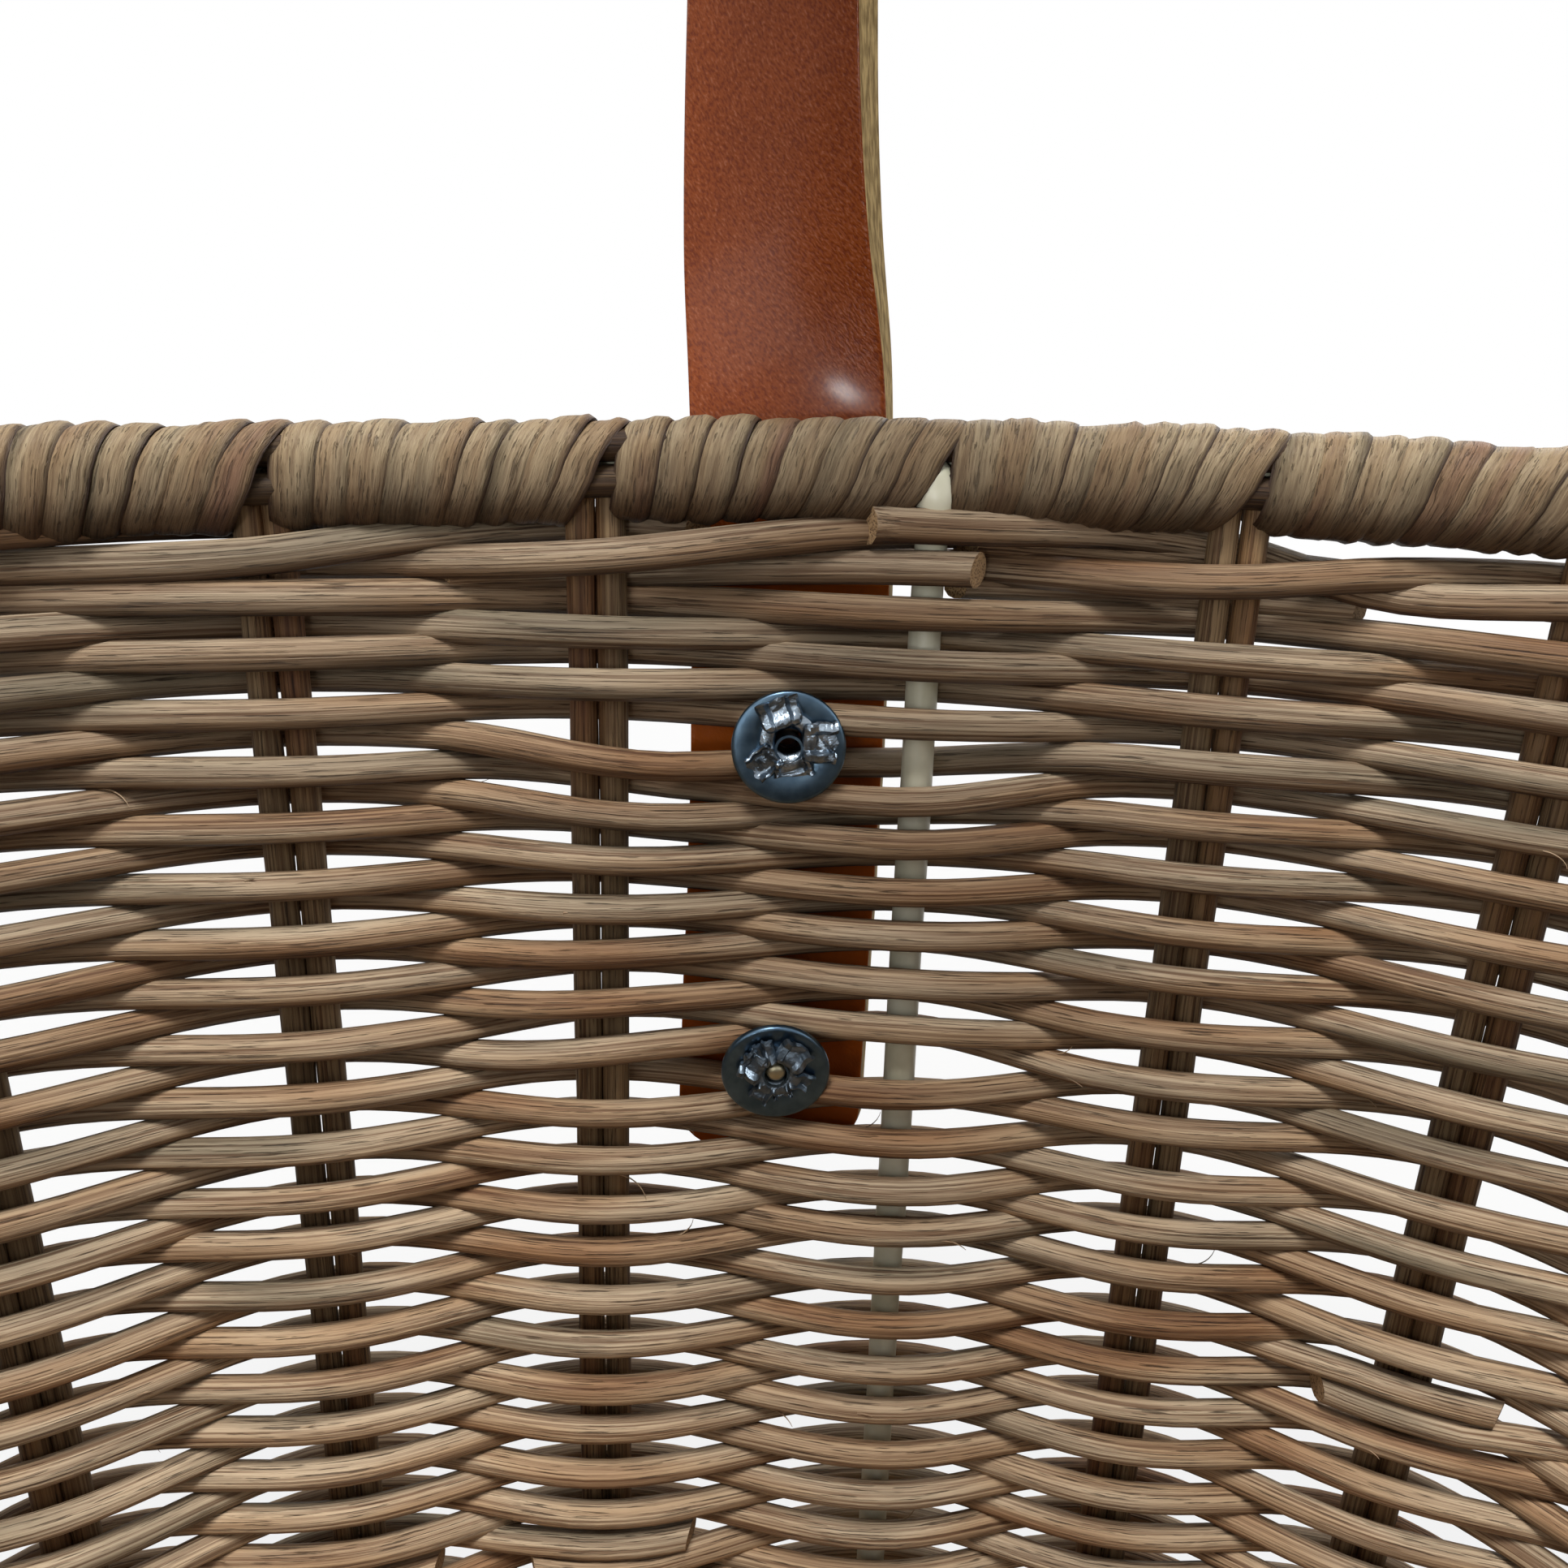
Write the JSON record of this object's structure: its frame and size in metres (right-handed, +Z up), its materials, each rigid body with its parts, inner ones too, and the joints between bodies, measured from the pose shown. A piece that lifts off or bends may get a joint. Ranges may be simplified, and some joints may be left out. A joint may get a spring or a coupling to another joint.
{
  "type": "storage basket",
  "caption": "Oval woven rattan storage basket on a welded wire frame, with a wrapped rim and one riveted leather strap handle over the opening.",
  "frame": {"origin": "on the floor under the middle of the basket", "axes": "+Z up; X runs along the basket's long side; Y runs across it, in line with the strap handle"},
  "size_m": [0.3272, 0.3082, 0.3235],
  "materials": {
    "rattan_weaver": "round rattan core, satin, grooved along its length",
    "rattan_stake": "round rattan core, satin",
    "rim_peel": "flat rattan peel wrapped over rattan core",
    "cream_steel": "cream powder coat",
    "leather": "reddish brown saddle leather, smooth faces, raw cut edges",
    "zinc": "zinc plated steel"
  },
  "bodies": {
    "basket": {"rim_binding": "rim_peel", "frame_top_ring": "cream_steel", "foot_border": "rim_peel", "frame_bottom_ring": "cream_steel", "base_mat": "rattan_weaver", "frame_upright_01": "cream_steel", "stake_02": "rattan_stake", "stake_03": "rattan_stake", "stake_04": "rattan_stake", "stake_05": "rattan_stake", "stake_06": "rattan_stake", "frame_upright_07": "cream_steel", "stake_08": "rattan_stake", "stake_09": "rattan_stake", "stake_10": "rattan_stake", "stake_11": "rattan_stake", "stake_12": "rattan_stake", "frame_upright_13": "cream_steel", "stake_14": "rattan_stake", "stake_15": "rattan_stake", "stake_16": "rattan_stake", "stake_17": "rattan_stake", "stake_18": "rattan_stake", "frame_upright_19": "cream_steel", "stake_20": "rattan_stake", "stake_21": "rattan_stake", "stake_22": "rattan_stake", "stake_23": "rattan_stake", "stake_24": "rattan_stake", "weaver_first": "rattan_weaver", "weaver_second": "rattan_weaver", "strap_end_rear": "leather", "rivet_rear_upper": "zinc", "washer_rear_upper": "zinc", "rivet_rear_lower": "zinc", "washer_rear_lower": "zinc", "strap_end_front": "leather", "rivet_front_upper": "zinc", "washer_front_upper": "zinc", "rivet_front_lower": "zinc", "washer_front_lower": "zinc"},
    "handle": {"strap_handle": "leather"}
  },
  "joints": [
    {"name": "handle_swing", "type": "hinge", "parent": "basket", "child": "handle", "pos_m": [0, 0, 0.172], "axis": [0, 1, 0], "range_deg": [-60, 60], "stiffness_Nm_per_rad": 0.15}
  ]
}
